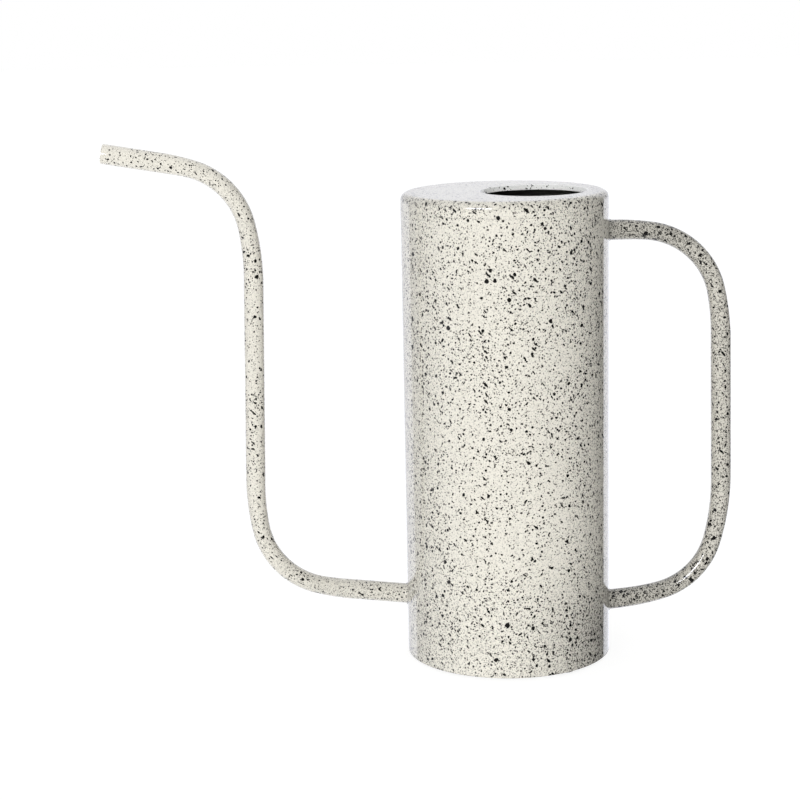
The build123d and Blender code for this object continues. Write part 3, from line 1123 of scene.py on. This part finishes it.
def span(spot, middle=0.0):
    """A spot's distance from an upright axis."""
    return math.hypot(spot.x - middle, spot.y)


def outwards(spot, normal, middle=0.0):
    """How far a face looks away from an upright axis, times its distance."""
    return normal.x * (spot.x - middle) + normal.y * spot.y


def cut_spout_hole(mesh):
    """The shell with a round hole for the spout's stub."""
    tubes = bpy.context.scene.can_tubes
    way = Vector((-math.cos(tubes.spout_rise), 0.0, math.sin(tubes.spout_rise)))
    place = Vector((-RADIUS, 0.0, RIM_Z + tubes.spout_joint))
    turn = way.to_track_quat("Z", "Y").to_matrix().to_4x4()
    radius = TUBE_RADIUS + HOLE_SLACK
    rod = linked("rod", edited(bpy.data.meshes.new("rod"), lambda shape: bmesh.ops.create_cone(
        shape, cap_ends=True, segments=96, radius1=radius, radius2=radius, depth=HOLE_DEPTH,
        matrix=Matrix.Translation(place) @ turn)))
    thing = linked("cut", mesh)
    cut = thing.modifiers.new("Hole", "BOOLEAN")
    cut.operation = "DIFFERENCE"
    cut.solver = "EXACT"
    cut.object = rod
    result = settled(thing)
    bpy.data.objects.remove(rod)
    return result


def true_normals(mesh, inner):
    """Gives the wall's two faces the normals of a true cylinder."""
    middle = (RADIUS + inner) / 2
    normals = [Vector((0.0, 0.0, 0.0))] * len(mesh.loops)
    for face in mesh.polygons:
        spoke = Vector((face.center.x, face.center.y, 0.0))
        if abs(face.normal.dot(spoke.normalized())) < TRUE_FACE:
            continue
        side = 1 if spoke.length > middle else -1
        for number in face.loop_indices:
            spot = mesh.vertices[mesh.loops[number].vertex_index].co
            normals[number] = Vector((spot.x, spot.y, 0.0)).normalized() * side
    mesh.normals_split_custom_set(normals)


class CanShell(bpy.types.Operator):
    """Roll the shell, with its open seam and the spout's hole"""
    bl_idname = "can.shell"
    bl_label = "Shell"

    def execute(self, context):
        sizes = context.scene.can_sheet
        inner = RADIUS - sizes.sheet
        gap = sizes.seam_gap / RADIUS
        rings = sorted({level + away for level in joint_heights() for away in RING_STEPS})
        mesh = turned("Shell", rounded(
            [(RADIUS, RIM_Z, sizes.lip, 0.0)]
            + [(RADIUS, level, 0.0, 0.0) for level in rings]
            + [(RADIUS, WELD_LOW_Z, 0.0, 0.0), (RADIUS - sizes.groove, SHELL_TOP_Z, 0.0, 0.0),
               (inner, SHELL_TOP_Z, 0.0, 0.0)]
            + [(inner, level, 0.0, 0.0) for level in reversed(rings)]
            + [(inner, RIM_Z, sizes.lip, 0.0)]), Start=gap / 2, Sweep=2 * math.pi - gap)
        mesh = shade(cut_spout_hole(edited(mesh, close_ends, face_outwards)))
        true_normals(mesh, inner)
        paint_faces(mesh, "ground_coat", lambda spot, normal: (
            span(spot) < inner + NEAR_WALL and spot.z > GROUND_COAT_Z
            and outwards(spot, normal) < 0))
        add_piece("shell_sheet", mesh, "body_shell", "body_enamel")
        return {"FINISHED"}


class CanSeam(bpy.types.Operator):
    """Fill the shell's lengthwise seam, with a low bead inside"""
    bl_idname = "can.seam"
    bl_label = "Lengthwise weld"

    def execute(self, context):
        sizes = context.scene.can_sheet
        inner = RADIUS - sizes.sheet
        gap = sizes.seam_gap / RADIUS
        face = RADIUS - sizes.seam_crown
        plug = turned("Plug", [
            (face, RIM_Z, 1.0), (face, WELD_LOW_Z, 1.0), (RADIUS - sizes.groove, SHELL_TOP_Z, 0.0),
            (inner, SHELL_TOP_Z, 0.0), (inner, RIM_Z, 0.0)],
            Start=-gap / 2, Sweep=gap, Segments=8, Bulge=sizes.seam_crown)
        low, high = FLANGE_TOP_Z + BEAD_END, SHELL_TOP_Z - BEAD_END
        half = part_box("seam_weld")[1].y
        wide = 2 * half / inner
        bead = turned("Bead", [
            (inner + BEAD_SINK, low, 0.0), (inner + BEAD_SINK, high, 0.0),
            (inner, high - BEAD_SLOPE, 1.0), (inner, low + BEAD_SLOPE, 1.0)],
            Start=-wide / 2, Sweep=wide, Segments=16, Bulge=-half)
        for mesh in (plug, bead):
            edited(mesh, close_ends, face_outwards)
        mesh = shade(joined(plug, bead))
        paint_faces(mesh, "ground_coat", lambda spot, normal: (
            span(spot) < inner + NEAR_SEAM and spot.z > GROUND_COAT_Z))
        add_piece("lengthwise_bead", mesh, "seam_weld", "body_enamel")
        return {"FINISHED"}


class CanTop(bpy.types.Operator):
    """Press the top with its rolled shoulder and turned-down filler edge"""
    bl_idname = "can.top"
    bl_label = "Top"

    def execute(self, context):
        sizes = context.scene.can_sheet
        sheet, depth, run = sizes.sheet, sizes.hem_depth, sizes.hem_run
        inner = RADIUS - sheet
        mouth = FILLER_RADIUS - run / 2
        slope = math.atan2(depth, run)
        mesh = shade(turned("Top", rounded([
            (RADIUS, WELD_TOP_Z, 0.0, 0.0),
            (RADIUS, TOP_Z, sizes.shoulder, 0.0),
            (mouth + run, TOP_Z, sizes.hem_bend, 1.0),
            (mouth, TOP_Z - depth, sizes.lip, 1.0),
            (mouth + sheet / math.sin(slope), TOP_Z - depth, sizes.lip, 1.0),
            (mouth + run + sheet * math.tan(slope / 2), TOP_Z - sheet, sizes.hem_bend - sheet, 1.0),
            (inner, TOP_Z - sheet, sizes.shoulder - sheet, 0.0),
            (inner, SHELL_TOP_Z, 0.0, 0.0),
            (RADIUS - sizes.groove, SHELL_TOP_Z, 0.0, 0.0)]), Offset=FILLER_X))
        hem_reach = FILLER_RADIUS + depth

        def hidden(spot, normal):
            """The hem's back and the top's underside."""
            if span(spot, FILLER_X) < hem_reach:
                return normal.z < 0 and outwards(spot, normal, FILLER_X) > -0.00001
            return normal.z < 0.01 and outwards(spot, normal) < 0.0001

        def on_edge(spot, normal):
            """The hem's face and its bend, where they lean towards the filler's axis."""
            away = span(spot, FILLER_X)
            return away < hem_reach and outwards(spot, normal, FILLER_X) < -EDGE_LEAN * away

        paint_faces(mesh, "ground_coat", hidden)
        # painted light: the hem's face and bend take the whiter enamel
        paint_faces(mesh, "edge_enamel", on_edge)
        add_piece("top_sheet", mesh, "top_plate", "body_enamel")
        return {"FINISHED"}


class CanTopWeld(bpy.types.Operator):
    """Fill the groove between shell and top, ground flush"""
    bl_idname = "can.top_weld"
    bl_label = "Top weld"

    def execute(self, context):
        root = RADIUS - context.scene.can_sheet.groove
        mesh = turned("Top weld", [
            (RADIUS, WELD_LOW_Z, 0.0), (RADIUS, WELD_TOP_Z, 0.0), (root, SHELL_TOP_Z, 0.0)])
        add_piece("top_bead", shade(mesh), "top_weld", "body_enamel")
        return {"FINISHED"}


class CanBase(bpy.types.Operator):
    """Press the base plate with its upturned flange"""
    bl_idname = "can.base"
    bl_label = "Base"

    def execute(self, context):
        sizes = context.scene.can_sheet
        inner = FLANGE_RADIUS - sizes.sheet
        upper = BASE_Z + sizes.sheet
        mesh = shade(turned("Base", rounded([
            (0.0, BASE_Z, 0.0, 0.0),
            (FLANGE_RADIUS, BASE_Z, sizes.base_bend, 0.0),
            (FLANGE_RADIUS, FLANGE_TOP_Z, sizes.lip, 0.0),
            (inner, FLANGE_TOP_Z, sizes.lip, 0.0),
            (inner, upper, sizes.base_bend - sizes.sheet, 0.0),
            (0.0, upper, 0.0, 0.0)])))
        paint_faces(mesh, "ground_coat", lambda spot, normal: (
            spot.z > upper - NEAR_BASE and span(spot) < inner + NEAR_SEAM))
        add_piece("base_sheet", mesh, "base_plate", "body_enamel")
        return {"FINISHED"}


class CanBaseWeld(bpy.types.Operator):
    """Lay the rippled bead between base and shell"""
    bl_idname = "can.base_weld"
    bl_label = "Base weld"

    def execute(self, context):
        bend = context.scene.can_sheet.base_bend
        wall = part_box("base_weld")[1].y
        points = [(wall, BASE_Z + RIPPLE, 1.0), (wall, BASE_Z + bend, 0.0)]
        for step in range(ARC_STEPS + 1):
            angle = math.pi / 2 * step / ARC_STEPS
            points.append((
                FLANGE_RADIUS - bend + bend * math.cos(angle),
                BASE_Z + bend - bend * math.sin(angle), 0.0))
        mesh = turned("Base weld", points, Segments=720, Ripple=RIPPLE, Waves=120.0)
        add_piece("base_bead", shade(mesh, 40), "base_weld", "body_enamel")
        return {"FINISHED"}


class CanSpout(bpy.types.Operator):
    """Bend the spout's tube"""
    bl_idname = "can.spout"
    bl_label = "Spout"

    def execute(self, context):
        add_piece("spout_pipe", bent_tube(spout_line()), "spout_tube", "spout_enamel")
        return {"FINISHED"}


class CanHandle(bpy.types.Operator):
    """Bend the handle's tube"""
    bl_idname = "can.handle"
    bl_label = "Handle"

    def execute(self, context):
        line, _ = handle_line()
        add_piece("handle_pipe", bent_tube(line), "handle_tube", "handle_enamel")
        return {"FINISHED"}


class CanCoves(bpy.types.Operator):
    """Lay the hollow beads where the spout and the handle meet the shell"""
    bl_idname = "can.coves"
    bl_label = "Joint welds"

    def execute(self, context):
        tubes = context.scene.can_tubes
        spout, upper, lower = joint_heights()
        _, inward = handle_line()
        # bead, its side, the tube's height and lean at the wall, and the seed of its ripple
        for bead, side, height, lean, seed in (
                ("spout", -1.0, spout, tubes.spout_rise, 0.4),
                ("handle_upper", 1.0, upper, tubes.handle_rise, 1.7),
                ("handle_lower", 1.0, lower, inward + math.pi, 3.1)):
            mesh = grown(
                "Cove bead", bpy.data.meshes.new(bead), Side=side, Wall=RADIUS, Tube=TUBE_RADIUS,
                Height=height, Lean=lean, Reach=tubes.cove, Seed=seed)
            slot = bead.split("_")[0] + "_enamel"
            add_piece(bead + "_bead", shade(mesh, 50), bead + "_weld", slot)
        return {"FINISHED"}


class CanPads(bpy.types.Operator):
    """Stick the rubber pads under the base"""
    bl_idname = "can.pads"
    bl_label = "Foot pads"

    def execute(self, context):
        sizes = context.scene.can_sheet
        pad = turned("Pad", rounded([
            (0.0, 0.0, 0.0, 0.0), (sizes.pad_radius, 0.0, sizes.pad_edge, 0.0),
            (sizes.pad_radius, PAD_TOP_Z, sizes.pad_rim, 0.0), (0.0, PAD_TOP_Z, 0.0, 0.0)]),
            Segments=64)
        mesh = grown(
            "Foot pads", pad, Count=3, Circle=FRONT_PAD.xy.length,
            Start=math.atan2(FRONT_PAD.y, FRONT_PAD.x))
        add_piece("rubber_pads", shade(mesh), "foot_pads", "pad_rubber")
        return {"FINISHED"}


class CanPanel(bpy.types.Panel):
    """Lists the pieces and their sizes"""
    bl_idname = "VIEW3D_PT_watering_can"
    bl_label = "Watering Can"
    bl_space_type = "VIEW_3D"
    bl_region_type = "UI"
    bl_category = "Watering Can"

    def draw(self, context):
        for operator in OPERATORS:
            self.layout.operator(operator.bl_idname)
        for group, kind in SETTINGS.items():
            box = self.layout.box()
            for name in kind.__annotations__:
                box.prop(getattr(context.scene, group), name)


SETTINGS = {
    "can_sheet": CanSheet,
    "can_tubes": CanTubes,
    "can_finish": CanFinish,
    "can_studio": CanStudio,
}
OPERATORS = [
    CanStage, CanShell, CanSeam, CanTop, CanTopWeld, CanBase, CanBaseWeld, CanSpout, CanHandle,
    CanCoves, CanPads]


def register():
    """Registers the settings, the operators and the panel."""
    for name, group in SETTINGS.items():
        bpy.utils.register_class(group)
        setattr(bpy.types.Scene, name, PointerProperty(type=group))
    for kind in [*OPERATORS, CanPanel]:
        bpy.utils.register_class(kind)


def unregister():
    """Takes all of it out again."""
    for kind in [CanPanel, *reversed(OPERATORS)]:
        bpy.utils.unregister_class(kind)
    for name, group in SETTINGS.items():
        delattr(bpy.types.Scene, name)
        bpy.utils.unregister_class(group)


def main():
    """Builds the stage and every piece."""
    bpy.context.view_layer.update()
    register()
    for operator in OPERATORS:
        family, name = operator.bl_idname.split(".")
        getattr(getattr(bpy.ops, family), name)()


if __name__ == "__main__":
    main()
